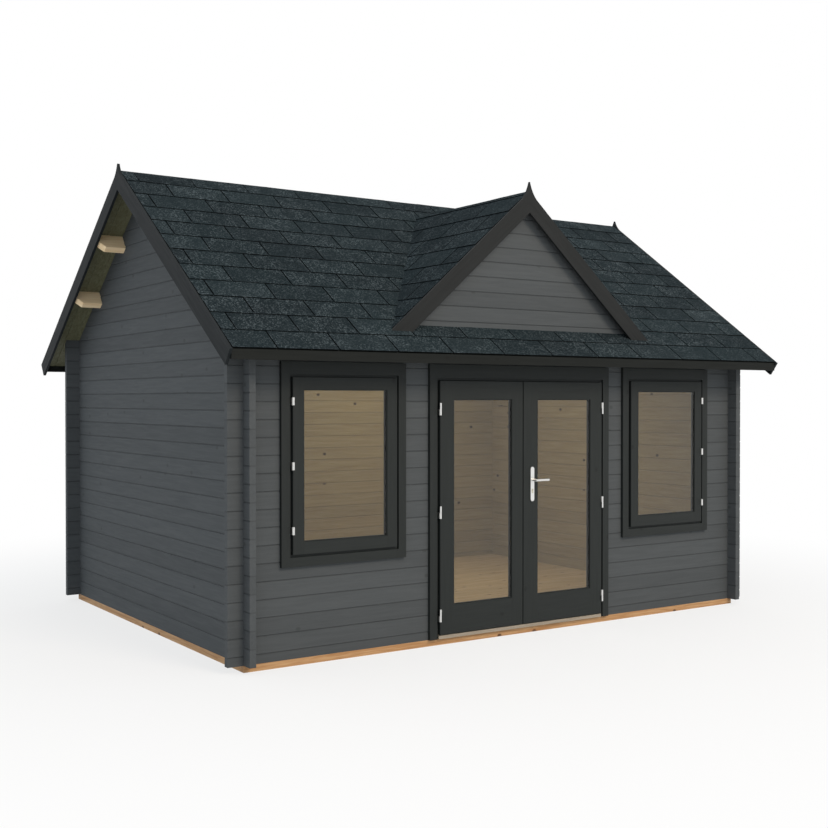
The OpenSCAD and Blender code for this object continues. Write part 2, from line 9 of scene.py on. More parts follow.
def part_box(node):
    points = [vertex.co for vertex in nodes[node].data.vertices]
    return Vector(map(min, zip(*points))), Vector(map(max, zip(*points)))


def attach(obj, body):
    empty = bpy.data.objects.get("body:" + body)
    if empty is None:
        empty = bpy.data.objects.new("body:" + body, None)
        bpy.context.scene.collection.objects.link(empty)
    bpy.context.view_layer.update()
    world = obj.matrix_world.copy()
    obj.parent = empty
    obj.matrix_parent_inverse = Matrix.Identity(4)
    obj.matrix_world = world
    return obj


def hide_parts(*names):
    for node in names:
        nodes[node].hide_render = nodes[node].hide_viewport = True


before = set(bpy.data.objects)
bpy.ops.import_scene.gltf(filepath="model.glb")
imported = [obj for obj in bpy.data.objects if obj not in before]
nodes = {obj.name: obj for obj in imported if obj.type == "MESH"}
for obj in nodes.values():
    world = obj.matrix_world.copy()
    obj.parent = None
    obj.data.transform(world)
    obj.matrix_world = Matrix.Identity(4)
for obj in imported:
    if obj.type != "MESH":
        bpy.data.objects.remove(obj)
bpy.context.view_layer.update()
scene = bpy.context.scene
scene.view_settings.view_transform = "Standard"


# The camera stands at eye height before the front left corner and looks at the cabin almost
# level, through a normal lens.
def put(name, data):
    """A new object in the scene."""
    thing = bpy.data.objects.new(name, data)
    scene.collection.objects.link(thing)
    return thing


turned, dipped = 33.82, 0.701
lens = bpy.data.cameras.new("camera")
lens.sensor_width = 36
lens.lens = 50.38
camera = put("camera", lens)
camera.location = (-5.3827, -8.2308, 1.7094)
camera.rotation_euler = (math.radians(90 - dipped), 0, math.radians(-turned))
scene.camera = camera


# The studio: a pale floor that fades out into white, a bright even dome, a broad warm lamp
# high in front of the cabin, and a soft lamp in the room behind the panes.
def linear(code):
    """A colour written as sRGB hex, as linear RGBA."""
    parts = [int(code[i:i + 2], 16) / 255 for i in (1, 3, 5)]
    return [c / 12.92 if c <= 0.04045 else ((c + 0.055) / 1.055) ** 2.4 for c in parts] + [1.0]


def add(tree, kind, out=0, settings=None, **inputs):
    """Adds a node and gives back one of its outputs. A word after the kind is its operation.
    An input is a value or a socket; i0, i1 name inputs by number, and other names have _ for
    a space."""
    kind, _, operation = kind.partition(" ")
    node = tree.nodes.new(kind)
    if operation:
        node.operation = operation
    for name, value in (settings or {}).items():
        setattr(node, name, value)
    for name, value in inputs.items():
        by_number = name[0] == "i" and name[1:].isdigit()
        socket = node.inputs[int(name[1:]) if by_number else name.replace("_", " ")]
        if isinstance(value, bpy.types.NodeSocket):
            tree.links.new(value, socket)
        else:
            socket.default_value = value
    return node.outputs[out] if len(node.outputs) else node


def blank(name):
    """A new material with nothing in its tree, and that tree."""
    material = bpy.data.materials.new(name)
    material.use_nodes = True
    material.node_tree.nodes.clear()
    return material, material.node_tree


def seen(tree):
    """1 for a ray from the camera, off metal or through glass, and 0 for any other."""
    direct, mirrored, through = (add(tree, "ShaderNodeLightPath", f"Is {kind} Ray")
                                 for kind in ("Camera", "Glossy", "Transmission"))
    glassy = add(tree, "ShaderNodeMath MAXIMUM", i0=mirrored, i1=through)
    return add(tree, "ShaderNodeMath MAXIMUM", i0=direct, i1=glassy)


world = bpy.data.worlds.new("studio")
scene.world = world
world.use_nodes = True
tree = world.node_tree
tree.nodes.clear()
dome = add(tree, "ShaderNodeBackground", Color=linear("#f7fcff"), Strength=0.86)
white = add(tree, "ShaderNodeBackground", Color=linear("#ffffff"), Strength=1.0)
add(tree, "ShaderNodeOutputWorld",
    Surface=add(tree, "ShaderNodeMixShader", i0=seen(tree), i1=dome, i2=white))


def lamp(name, place, target, size, power, colour):
    """A round soft lamp that looks at a target."""
    light = bpy.data.lights.new(name, "AREA")
    light.shape = "DISK"
    light.size = size
    light.energy = power
    light.color = linear(colour)[:3]
    holder = put(name, light)
    holder.location = place
    ahead = Vector(target) - Vector(place)
    holder.rotation_euler = ahead.to_track_quat("-Z", "Y").to_euler()


lamp("evening_lamp", (1.6, -15.8, 12.0), (0, -1.2, 1.4), size=7.5, power=1590, colour="#ffecd4")
lamp("room_lamp", (0.5, 0.2, 2.45), (0.5, 0.2, 0), size=1.6, power=26, colour="#fff9ed")

disc = bmesh.new()
bmesh.ops.create_circle(disc, cap_ends=True, segments=96, radius=40)
floor_mesh = bpy.data.meshes.new("studio_floor")
disc.to_mesh(floor_mesh)
disc.free()
pale, tree = blank("pale_floor")
far = add(tree, "ShaderNodeVectorMath LENGTH", "Value",
          i0=add(tree, "ShaderNodeTexCoord", "Object"))
fade = add(tree, "ShaderNodeMapRange", settings={"interpolation_type": "SMOOTHSTEP"},
           Value=far, From_Min=2.5, From_Max=7.0, To_Min=0.72, To_Max=1.0)
fade = add(tree, "ShaderNodeMath MULTIPLY", i0=fade, i1=seen(tree))
shade = add(tree, "ShaderNodeBsdfDiffuse", Color=linear("#e1e1e1"))
glow = add(tree, "ShaderNodeEmission", Color=linear("#ffffff"), Strength=1.0)
add(tree, "ShaderNodeOutputMaterial",
    Surface=add(tree, "ShaderNodeMixShader", i0=fade, i1=shade, i2=glow))
floor_mesh.materials.append(pale)
studio_floor = put("studio_floor", floor_mesh)

# Foundation beams and joists: sawn pine, impregnated against rot, which leaves it honey brown
# with dark knots. They lie flat on the base and carry the first logs and the floor.

# a mix of colours has its factor at input 0, its colours at 6 and 7, its result at output 2
colour_mix = {"out": 2, "settings": {"data_type": "RGBA"}}


def wood_grain(tree, run, over, deep, contrast):
    """Streaks along the wood, with pores in them. They are drawn 20 mm apart, three times the
    real year rings, so that they show."""
    streak_w, pore_w, drawn_out = 0.020, 0.005, 0.06
    line = add(tree, "ShaderNodeCombineXYZ", Y=over, Z=deep,
               X=add(tree, "ShaderNodeMath MULTIPLY", i0=run, i1=drawn_out))
    streak = add(tree, "ShaderNodeTexNoise", "Fac", Vector=line, Scale=1 / streak_w, Detail=3.0,
                 Roughness=0.55, Distortion=0.6)
    pores = add(tree, "ShaderNodeTexNoise", "Fac", Vector=line, Scale=1 / pore_w, Detail=1.0)
    grain = add(tree, "ShaderNodeMath MULTIPLY_ADD", i0=pores, i1=0.3, i2=streak)
    return add(tree, "ShaderNodeMapRange", Value=grain, From_Min=0.48, From_Max=0.82,
               To_Min=0.5 - 0.5 * contrast, To_Max=0.5 + 0.5 * contrast)


def wood_knots(tree, run, rows, pitch, share):
    """Knots up to 17 mm in radius and longer along the grain. Each stretch of board has room
    for one, and this share of the stretches has it."""
    stretch, core_r, knot_r, drawn_out = 0.45, 0.008, 0.017, 0.7
    cell = add(tree, "ShaderNodeCombineXYZ", Y=rows,
               X=add(tree, "ShaderNodeMath DIVIDE", i0=run, i1=stretch))
    spot = add(tree, "ShaderNodeTexVoronoi", settings={"voronoi_dimensions": "2D"},
               Vector=cell, Scale=1.0).node.outputs
    off = add(tree, "ShaderNodeVectorMath SUBTRACT", i0=cell, i1=spot["Position"])
    off = add(tree, "ShaderNodeVectorMath MULTIPLY", i0=off, i1=(stretch * drawn_out, pitch, 0))
    knot = add(tree, "ShaderNodeMapRange", settings={"interpolation_type": "SMOOTHSTEP"},
               Value=add(tree, "ShaderNodeVectorMath LENGTH", "Value", i0=off),
               From_Min=core_r, From_Max=knot_r, To_Min=1.0, To_Max=0.0)
    chosen = add(tree, "ShaderNodeMath LESS_THAN", i1=share,
                 i0=add(tree, "ShaderNodeSeparateXYZ", "X", Vector=spot["Color"]))
    return add(tree, "ShaderNodeMath MULTIPLY", i0=knot, i1=chosen)


def timber(name, along, across, colours, pitch, start=0.0, contrast=1.0, knots=0.5,
           roughness=0.6, specular=0.3, relief=0.0005, seam=0.0, lean=None, rails=None,
           inside=None, room=None):
    """Softwood with its grain along one axis, in boards of one pitch across another, counted
    from start. The colours are for light grain, dark grain and knots. The groove shade share
    darkens the last millimetres at each joint: painted shade in the joint's groove. lean (axis,
    angle) lays the grain along a sloping board, and rails (from, to) turns it level between two
    stiles. inside gives three other colours to what lies within the half sizes of the room."""
    material, tree = blank(name)
    place = add(tree, "ShaderNodeTexCoord", "Object")
    if lean:
        place = add(tree, "ShaderNodeVectorRotate", Vector=place, Angle=lean[1],
                    settings={"rotation_type": lean[0] + "_AXIS"})
    axes = add(tree, "ShaderNodeSeparateXYZ", Vector=place).node.outputs
    run, over = axes[along], axes[across]
    deep = next(axes[axis] for axis in "XYZ" if axis not in (along, across))
    if rails:
        half = (rails[1] - rails[0]) / 2
        between = add(tree, "ShaderNodeMath COMPARE", i0=over, i1=rails[0] + half, i2=half)
        run, over = (add(tree, "ShaderNodeMix", i0=between, i2=a, i3=b)
                     for a, b in ((run, over), (over, run)))
    rows = add(tree, "ShaderNodeMath MULTIPLY_ADD", i0=over, i1=1 / pitch, i2=-start / pitch)
    chance = add(tree, "ShaderNodeTexWhiteNoise", "Value", {"noise_dimensions": "1D"},
                 W=add(tree, "ShaderNodeMath FLOOR", i0=rows))
    # each board is cut from another place, up to 13 m further along the pattern
    apart = 13.0
    run = add(tree, "ShaderNodeMath MULTIPLY_ADD", i0=chance, i1=apart, i2=run)
    grain = wood_grain(tree, run, over, deep, contrast)
    knot = wood_knots(tree, run, rows, pitch, knots)

    def coloured(light, dark, heart):
        clear = add(tree, "ShaderNodeMix", **colour_mix, i0=grain, i6=linear(dark),
                    i7=linear(light))
        return add(tree, "ShaderNodeMix", **colour_mix, i0=knot, i6=clear, i7=linear(heart))

    colour = coloured(*colours)
    if inside:
        within = [add(tree, "ShaderNodeMath LESS_THAN", i1=limit,
                      i0=add(tree, "ShaderNodeMath ABSOLUTE", i0=axes[axis]))
                  for axis, limit in zip("XY", room)]
        indoors = add(tree, "ShaderNodeMath MULTIPLY", i0=within[0], i1=within[1])
        colour = add(tree, "ShaderNodeMix", **colour_mix, i0=indoors, i6=colour,
                     i7=coloured(*inside))
    tone_spread, rough_spread = 0.12, 0.12
    tone = add(tree, "ShaderNodeMath MULTIPLY_ADD", i0=chance, i1=tone_spread,
               i2=1 - tone_spread / 2)
    # the joints are darkened over their last millimetres: painted shade in their grooves
    if seam:
        seam_from, seam_to = 0.003, 0.006
        away = add(tree, "ShaderNodeMath PINGPONG", i0=rows, i1=0.5)
        painted_groove_shade = add(tree, "ShaderNodeMapRange", Value=away, From_Min=seam_from / pitch,
                   From_Max=seam_to / pitch, To_Min=1 - seam, To_Max=1.0)
        tone = add(tree, "ShaderNodeMath MULTIPLY", i0=tone, i1=painted_groove_shade)
    colour = add(tree, "ShaderNodeHueSaturation", Color=colour, Value=tone)
    bump = add(tree, "ShaderNodeBump", Strength=0.5, Distance=relief, Height=grain)
    rough = add(tree, "ShaderNodeMapRange", Value=grain, To_Min=roughness + rough_spread / 2,
                To_Max=roughness - rough_spread / 2)
    skin = add(tree, "ShaderNodeBsdfPrincipled", Base_Color=colour, Roughness=rough, Normal=bump,
               Specular_IOR_Level=specular)
    add(tree, "ShaderNodeOutputMaterial", Surface=skin)
    return material


def dress(names, material):
    """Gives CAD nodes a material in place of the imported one."""
    for name in names:
        slots = nodes[name].data.materials
        slots.clear()
        slots.append(material)


honey = ("#c29c72", "#a67a50", "#5e3e26")
dress(["long_foundation_beams"], timber("impregnated_pine_x", "X", "Z", honey, pitch=0.09))
dress(["short_foundation_beams", "floor_joists"],
      timber("impregnated_pine_y", "Y", "Z", honey, pitch=0.09))


# Floor: planed spruce boards, 110 mm wide and 19 mm thick, laid along the room on the joists
# with a narrow chamfer at every joint, and cut out round the door's frame. The planed faces
# keep a soft sheen.
def node_tree(name, sizes):
    """An empty geometry tree with named inputs; gives the tree and its input sockets."""
    tree = bpy.data.node_groups.new(name, "GeometryNodeTree")
    tree.interface.new_socket("Geometry", in_out="OUTPUT", socket_type="NodeSocketGeometry")
    for title, kind in sizes.items():
        tree.interface.new_socket(title, in_out="INPUT", socket_type="NodeSocket" + kind)
    start = tree.nodes.new("NodeGroupInput")
    return tree, {title: start.outputs[title] for title in sizes}


def close_tree(tree, geometry, material):
    """Ends a geometry tree in real faces of one material."""
    whole = add(tree, "GeometryNodeRealizeInstances", Geometry=geometry)
    painted = add(tree, "GeometryNodeSetMaterial", Geometry=whole, Material=material)
    end = tree.nodes.new("NodeGroupOutput")
    tree.links.new(painted, end.inputs[0])


def grow(name, tree, values, matrix):
    """Runs a tree, keeps its result as a plain mesh and puts it in place."""
    holder = put(name + "_holder", bpy.data.meshes.new(name + "_holder"))
    modifier = holder.modifiers.new("nodes", "NODES")
    modifier.node_group = tree
    for item in tree.interface.items_tree:
        if item.in_out == "INPUT":
            modifier[item.identifier] = values[item.name]
    graph = bpy.context.evaluated_depsgraph_get()
    mesh = bpy.data.meshes.new_from_object(holder.evaluated_get(graph), depsgraph=graph)
    holder.modifiers.remove(modifier)
    bpy.data.objects.remove(holder)
    mesh.transform(matrix)
    return put(name, mesh)


def laid(origin, along, outward):
    """A frame for boards and tabs: y along them, z out of their face, x across."""
    across = along.cross(outward)
    matrix = Matrix((across, along, outward)).transposed().to_4x4()
    matrix.translation = origin
    return matrix


def notched(piece, low, high):
    """Cuts a box-shaped notch out of a piece."""
    box = bmesh.new()
    bmesh.ops.create_cube(box, size=1.0, matrix=Matrix.Translation((low + high) / 2)
                          @ Matrix.Diagonal((*(high - low), 1)))
    mesh = bpy.data.meshes.new("notch")
    box.to_mesh(mesh)
    box.free()
    cutter = put("notch", mesh)
    cut = piece.modifiers.new("notch", "BOOLEAN")
    cut.object = cutter
    graph = bpy.context.evaluated_depsgraph_get()
    mesh = bpy.data.meshes.new_from_object(piece.evaluated_get(graph), depsgraph=graph)
    piece.modifiers.remove(cut)
    piece.data = mesh
    bpy.data.objects.remove(cutter)


boards_tree, size = node_tree("boards_side_by_side", {
    "Count": "Int", "Width": "Float", "Length": "Float", "Thickness": "Float",
    "Gap": "Float", "Chamfer": "Float", "Material": "Material"})
section = add(boards_tree, "GeometryNodeCurvePrimitiveQuadrilateral", Height=size["Thickness"],
              Width=add(boards_tree, "ShaderNodeMath SUBTRACT", i0=size["Width"],
                        i1=size["Gap"]))
section = add(boards_tree, "GeometryNodeFilletCurve", settings={"mode": "POLY"}, Curve=section,
              Radius=size["Chamfer"], Count=1)
path = add(boards_tree, "GeometryNodeCurvePrimitiveLine", Start=(0, 0, 0),
           End=add(boards_tree, "ShaderNodeCombineXYZ", Y=size["Length"]))
board = add(boards_tree, "GeometryNodeCurveToMesh", Curve=path, Profile_Curve=section,
            Fill_Caps=True)
board = add(boards_tree, "GeometryNodeSetShadeSmooth", Geometry=board, Shade_Smooth=False)
step = add(boards_tree, "ShaderNodeMath MULTIPLY", i1=size["Width"],
           i0=add(boards_tree, "GeometryNodeInputIndex"))
spots = add(boards_tree, "GeometryNodePoints", Count=size["Count"],
            Position=add(boards_tree, "ShaderNodeCombineXYZ", X=step))
boards = add(boards_tree, "GeometryNodeInstanceOnPoints", Points=spots, Instance=board)
close_tree(boards_tree, boards, size["Material"])

floor_low, floor_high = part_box("floor")
floor_d = floor_high.y - floor_low.y
usual_floor_w = 0.110
floor_count = round(floor_d / usual_floor_w)
floor_board_w = floor_d / floor_count
spruce_floor = timber("planed_spruce_floor", "X", "Y", ("#cdb086", "#b49468", "#6b4a2c"),
                      pitch=floor_board_w, start=floor_low.y, roughness=0.45, specular=0.4)
floor_start = Vector((floor_high.x, floor_low.y + floor_board_w / 2,
                      (floor_low.z + floor_high.z) / 2))
floor_boards = grow("floor_boards", boards_tree, {
    "Count": floor_count, "Width": floor_board_w, "Length": floor_high.x - floor_low.x,
    "Thickness": floor_high.z - floor_low.z, "Gap": 0.001, "Chamfer": 0.0025,
    "Material": spruce_floor}, laid(floor_start, Vector((-1, 0, 0)), Vector((0, 0, 1))))
jamb_low, jamb_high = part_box("door_left_jamb")[0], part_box("door_right_jamb")[1]
door_gap, past_floor = 0.003, 0.1
notched(floor_boards,
        Vector((jamb_low.x - door_gap, floor_low.y - past_floor, floor_low.z - past_floor)),
        Vector((jamb_high.x + door_gap, jamb_high.y + door_gap, floor_high.z + past_floor)))
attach(floor_boards, "cabin")
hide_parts("floor")

# Log walls: spruce logs 114 by 44 mm with a tongue and groove, planed, stacked and half-lapped
# at the corners, so the joints of the side walls lie half a log off the others. Outside they
# have a thin matt grey stain, inside they are left as raw pine.
log_h = 0.114
wall_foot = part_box("long_foundation_beams")[1].z
side_low, side_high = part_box("left_wall")
back_low, back_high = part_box("back_wall")
stain = ("#4e5255", "#494d50", "#434749")
# the stain coat darkens each joint a little: painted shade in the grooves
stain_coat = {"contrast": 0.7, "knots": 0.2, "roughness": 0.75, "specular": 0.18, "seam": 0.2}
bare = {"inside": ("#a69368", "#917a50", "#46321f"),
        "room": (-(side_low.x + side_high.x) / 2, (back_low.y + back_high.y) / 2)}
dress(["front_wall_left_lower", "front_wall_left_end", "front_wall_left_pier",
       "front_wall_right_lower", "front_wall_right_end", "front_wall_right_pier",
       "front_wall_top", "back_wall"],
      timber("grey_stained_logs_x", "X", "Z", stain, pitch=log_h, start=wall_foot + log_h / 2,
             **stain_coat, **bare))
dress(["left_wall", "right_wall"],
      timber("grey_stained_logs_y", "Y", "Z", stain, pitch=log_h, start=wall_foot,
             **stain_coat, **bare))

# Purlins: planed spruce beams let into the gable walls, square to the slope, with their
# lower edge cut back at the ends. They are left raw, but coloured lighter than raw spruce:
# painted light that stands for the light reaching them under the eaves.
spruce_with_painted_light = ("#fde6c2", "#f0d2a4", "#a2764c")
dress(["side_purlins", "ridge_purlin"],
      timber("purlin_spruce_painted_light", "X", "Z", spruce_with_painted_light, pitch=0.2, start=0.05, contrast=0.8,
             knots=0.1))


# Roof boards: spruce boards 88 mm wide and 20 mm thick, nailed down the slope on the purlins
# with a small chamfer at each joint. From below they look olive brown in the shade; that dark
# olive brown is their colour here, painted shade of the eaves on spruce.
def slope(level, pitch):
    """The ways down and out of a slope that falls off in a level direction."""
    up = Vector((0, 0, 1))
    return (level * math.cos(pitch) - up * math.sin(pitch),
            level * math.sin(pitch) + up * math.cos(pitch))


def trimmed(piece, cuts):
    """Cuts a piece off beyond each plane (point, outward direction) and closes the cuts."""
    shape = bmesh.new()
    shape.from_mesh(piece.data)
    for point, outward in cuts:
        everything = shape.verts[:] + shape.edges[:] + shape.faces[:]
        cut = bmesh.ops.bisect_plane(shape, geom=everything, plane_co=point, plane_no=outward,
                                     clear_outer=True)["geom_cut"]
        bmesh.ops.holes_fill(shape, edges=[e for e in cut if isinstance(e, bmesh.types.BMEdge)])
    bmesh.ops.recalc_face_normals(shape, faces=shape.faces)
    shape.to_mesh(piece.data)
    shape.free()


roof_low, roof_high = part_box("front_roof")
ridge_z, roof_x, eave_y = roof_high.z, roof_high.x, -roof_low.y
roof_pitch = math.radians(35.4)
usual_roof_w, roof_board_t, past_roof = 0.088, 0.020, 0.03
roof_count = round(2 * roof_x / usual_roof_w)
roof_board_w = 2 * roof_x / roof_count
spruce_with_painted_shade = timber("roof_boards_painted_shade", "Y", "X", ("#6a6b54", "#55553f", "#332e1c"),
                      pitch=roof_board_w, start=-roof_x, contrast=0.8, knots=0.2)
for side, name in ((-1, "front_roof"), (1, "back_roof")):
    down, normal = slope(Vector((0, side, 0)), roof_pitch)
    start = Vector((0, 0, ridge_z)) - normal * roof_board_t / 2 - down * past_roof
    start.x = down.cross(normal).x * (roof_board_w / 2 - roof_x)
    boards = grow(name + "_boards", boards_tree, {
        "Count": roof_count, "Width": roof_board_w,
        "Length": eave_y / math.cos(roof_pitch) + 2 * past_roof, "Thickness": roof_board_t,
        "Gap": 0.0008, "Chamfer": 0.003, "Material": spruce_with_painted_shade}, laid(start, down, normal))
    trimmed(boards, [((0, 0, 0), (0, -side, 0)), ((0, side * eave_y, 0), (0, side, 0))])
    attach(boards, "cabin")
    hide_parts(name)

# Fascias and bargeboards: planed spruce boards, painted matt anthracite on all sides and
# screwed to the roof boards and purlins. The bargeboards rise to a point over each ridge.
board_paint = {"contrast": 0.6, "roughness": 0.65, "specular": 0.15}
dress(["front_fascia", "back_fascia"],
      timber("anthracite_fascia", "X", "Z", ("#191c1b", "#151817", "#131514"), pitch=0.4,
             **board_paint))
anthracite = ("#1b2023", "#171c1f", "#141719")
for side, name in ((-1, "front_bargeboards"), (1, "back_bargeboards")):
    dress([name], timber("anthracite_" + name, "Y", "Z", anthracite, pitch=4.0, start=-1.0,
                         lean=("X", side * roof_pitch), **board_paint))

# Dormer: a boarded gable in the stain of the walls, closed by two board slopes that stand on
# the main roof, with painted bargeboards in front. The slopes' boards are near black, painted
# shade for their undersides and for the slots between the shingles above.
dormer_pitch = math.radians(41.3)
lintel_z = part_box("front_wall_top")[0].z
dress(["dormer_gable"],
      timber("grey_stained_gable", "X", "Z", stain, pitch=0.110, start=lintel_z, **stain_coat))
dress(["dormer_left_roof", "dormer_right_roof"],
      timber("dormer_slopes_painted_shade", "Y", "X", ("#1d1f20", "#181a1b", "#121314"), pitch=0.3))
for side, name in ((1, "dormer_left_bargeboard"), (-1, "dormer_right_bargeboard")):
    dress([name], timber("anthracite_" + name, "X", "Z", ("#262829", "#212324", "#1c1e1f"),
                         pitch=4.0, start=-1.0, lean=("Y", side * dormer_pitch), **board_paint))

# Shingles: bitumen felt faced with slate chips, cut in square tabs 438 mm wide and nailed in
# courses 199 mm apart, each course half a tab along. The tabs are thin and curl a little.
# Real slate chips are 1 to 2 mm; they are drawn 7 mm across so that they show.
cloud_w, patch_w, chip_w = 0.5, 0.12, 0.007
chip_shingle, tree = blank("slate_chip_shingle")
place = add(tree, "ShaderNodeTexCoord", "Object")
tab_shade = add(tree, "ShaderNodeAttribute", "Fac", {"attribute_name": "tab_shade"})
cloud = add(tree, "ShaderNodeTexNoise", "Fac", Vector=place, Scale=1 / cloud_w, Detail=4.0,
            Roughness=0.6)
cloud = add(tree, "ShaderNodeMapRange", Value=cloud, From_Min=0.35, From_Max=0.7,
            To_Min=0.0, To_Max=0.6)
chip = add(tree, "ShaderNodeSeparateXYZ", "X",
           Vector=add(tree, "ShaderNodeTexVoronoi", "Color", Vector=place, Scale=1 / chip_w))
bright = add(tree, "ShaderNodeMapRange", Value=chip, From_Min=0.6, From_Max=1.0,
             To_Min=0.0, To_Max=0.5)
patchy = add(tree, "ShaderNodeTexNoise", "Fac", Vector=place, Scale=1 / patch_w, Detail=2.0)
patchy = add(tree, "ShaderNodeMapRange", Value=patchy, From_Min=0.35, From_Max=0.65,
             To_Min=0.3, To_Max=1.0)
own = add(tree, "ShaderNodeTexWhiteNoise", "Value", {"noise_dimensions": "1D"}, W=tab_shade)
own = add(tree, "ShaderNodeMapRange", Value=own, To_Min=0.5, To_Max=1.1)
for share in (patchy, own):
    bright = add(tree, "ShaderNodeMath MULTIPLY", i0=bright, i1=share)
ground = add(tree, "ShaderNodeMix", **colour_mix, i0=tab_shade, i6=linear("#1b2226"),
             i7=linear("#262f33"))
ground = add(tree, "ShaderNodeMix", **colour_mix, i0=cloud, i6=ground, i7=linear("#1d282c"))
ground = add(tree, "ShaderNodeMix", **colour_mix, i0=bright, i6=ground, i7=linear("#78848a"))
# cut edges are bare bitumen; the felt in the slots gets the same black, as painted shade
ground = add(tree, "ShaderNodeMix", **colour_mix, i6=ground, i7=linear("#08090a"),
             i0=add(tree, "ShaderNodeAttribute", "Fac", {"attribute_name": "bare_bitumen_and_slot_shade"}))
bump = add(tree, "ShaderNodeBump", Strength=0.6, Distance=0.0012, Height=chip)
skin = add(tree, "ShaderNodeBsdfPrincipled", Base_Color=ground, Roughness=0.9, Normal=bump,
           Specular_IOR_Level=0.03)
add(tree, "ShaderNodeOutputMaterial", Surface=skin)

# the tree counts the tabs course by course from the foot of a slope, and cuts them at its ends
shingle_tree, size = node_tree("shingle_courses", {
    "Courses": "Int", "Columns": "Int", "Width": "Float", "Tab": "Float", "Course": "Float",
    "Length": "Float", "Thickness": "Float", "Slot": "Float", "Foot": "Float", "Curl": "Float",
    "Seed": "Int", "Material": "Material"})
even_start, odd_start, sway = 0.50, 0.04, 0.015
bedding, play, narrowest, ripples_per_m = 0.001, 0.0012, 0.012, 7.0
number = add(shingle_tree, "GeometryNodeInputIndex")
course = add(shingle_tree, "ShaderNodeMath ADD", i0=number, i1=0.5)
course = add(shingle_tree, "ShaderNodeMath DIVIDE", i0=course, i1=size["Columns"])
course = add(shingle_tree, "ShaderNodeMath FLOOR", i0=course)
column = add(shingle_tree, "ShaderNodeMath MULTIPLY", i0=course, i1=size["Columns"])
column = add(shingle_tree, "ShaderNodeMath SUBTRACT", i0=number, i1=column)
odd = add(shingle_tree, "ShaderNodeMath MODULO", i0=course, i1=2.0)
offset = add(shingle_tree, "ShaderNodeMath MULTIPLY_ADD", i0=odd, i1=odd_start - even_start,
             i2=even_start)
swayed = add(shingle_tree, "FunctionNodeRandomValue", 1, {"data_type": "FLOAT"}, i2=-sway,
             i3=sway, ID=course, Seed=size["Seed"])
offset = add(shingle_tree, "ShaderNodeMath ADD", i0=swayed, i1=offset)
left = add(shingle_tree, "ShaderNodeMath SUBTRACT", i0=column, i1=offset)
left = add(shingle_tree, "ShaderNodeMath MULTIPLY", i0=left, i1=size["Tab"])
right = add(shingle_tree, "ShaderNodeMath ADD", i0=left, i1=size["Tab"])
right = add(shingle_tree, "ShaderNodeMath MINIMUM", i0=right, i1=size["Width"])
left = add(shingle_tree, "ShaderNodeMath MAXIMUM", i0=left, i1=0.0)
wide = add(shingle_tree, "ShaderNodeMath SUBTRACT", i0=right, i1=left)
wide = add(shingle_tree, "ShaderNodeMath SUBTRACT", i0=wide, i1=size["Slot"])
middle = add(shingle_tree, "ShaderNodeMath ADD", i0=left, i1=right)
middle = add(shingle_tree, "ShaderNodeMath MULTIPLY", i0=middle, i1=0.5)
half_l = add(shingle_tree, "ShaderNodeMath MULTIPLY", i0=size["Length"], i1=0.5)
climbed = add(shingle_tree, "ShaderNodeMath MULTIPLY_ADD", i0=course, i1=size["Course"],
              i2=half_l)
from_ridge = add(shingle_tree, "ShaderNodeMath SUBTRACT", i0=size["Foot"], i1=climbed)
luck = add(shingle_tree, "FunctionNodeRandomValue", 1, {"data_type": "FLOAT"}, i2=0.0, i3=1.0,
           ID=number, Seed=size["Seed"])
lift = add(shingle_tree, "ShaderNodeMath ADD", i0=size["Thickness"], i1=bedding)
lift = add(shingle_tree, "ShaderNodeMath MULTIPLY_ADD", i0=luck, i1=play, i2=lift)
spots = add(shingle_tree, "GeometryNodePoints",
            Count=add(shingle_tree, "ShaderNodeMath MULTIPLY", i0=size["Courses"],
                      i1=size["Columns"]),
            Position=add(shingle_tree, "ShaderNodeCombineXYZ", X=middle, Y=from_ridge, Z=lift))
spots = add(shingle_tree, "GeometryNodeStoreNamedAttribute", Geometry=spots, Value=luck,
            Name="tab_shade", settings={"data_type": "FLOAT", "domain": "POINT"})
one_tab = add(shingle_tree, "GeometryNodeMeshCube", Vertices_X=5, Vertices_Y=3, Vertices_Z=2,
              Size=add(shingle_tree, "ShaderNodeCombineXYZ", X=1.0, Y=size["Length"],
                       Z=size["Thickness"]))
upright = add(shingle_tree, "ShaderNodeSeparateXYZ", "Z",
              Vector=add(shingle_tree, "GeometryNodeInputNormal"))
upright = add(shingle_tree, "ShaderNodeMath ABSOLUTE", i0=upright)
one_tab = add(shingle_tree, "GeometryNodeStoreNamedAttribute", Geometry=one_tab, Name="bare_bitumen_and_slot_shade",
              Value=add(shingle_tree, "ShaderNodeMath LESS_THAN", i0=upright, i1=0.5),
              settings={"data_type": "FLOAT", "domain": "FACE"})
tilt = add(shingle_tree, "ShaderNodeMath DIVIDE", i0=size["Thickness"], i1=size["Length"])
tabs = add(shingle_tree, "GeometryNodeInstanceOnPoints", Points=spots, Instance=one_tab,
           Selection=add(shingle_tree, "ShaderNodeMath GREATER_THAN", i0=wide, i1=narrowest),
           Rotation=add(shingle_tree, "ShaderNodeCombineXYZ", X=tilt),
           Scale=add(shingle_tree, "ShaderNodeCombineXYZ", X=wide, Y=1.0, Z=1.0))
tabs = add(shingle_tree, "GeometryNodeRealizeInstances", Geometry=tabs)
ripple = add(shingle_tree, "ShaderNodeTexNoise", "Fac", Scale=ripples_per_m, Detail=2.0,
             Vector=add(shingle_tree, "GeometryNodeInputPosition"))
ripple = add(shingle_tree, "ShaderNodeMath SUBTRACT", i0=ripple, i1=0.5)
ripple = add(shingle_tree, "ShaderNodeMath MULTIPLY", i0=ripple, i1=size["Curl"])
tabs = add(shingle_tree, "GeometryNodeSetPosition", Geometry=tabs,
           Offset=add(shingle_tree, "ShaderNodeCombineXYZ", Z=ripple))
close_tree(shingle_tree, tabs, size["Material"])

tab_w, course_h, tab_l, tab_t, slot_w = 0.438, 0.1994, 0.225, 0.006, 0.009


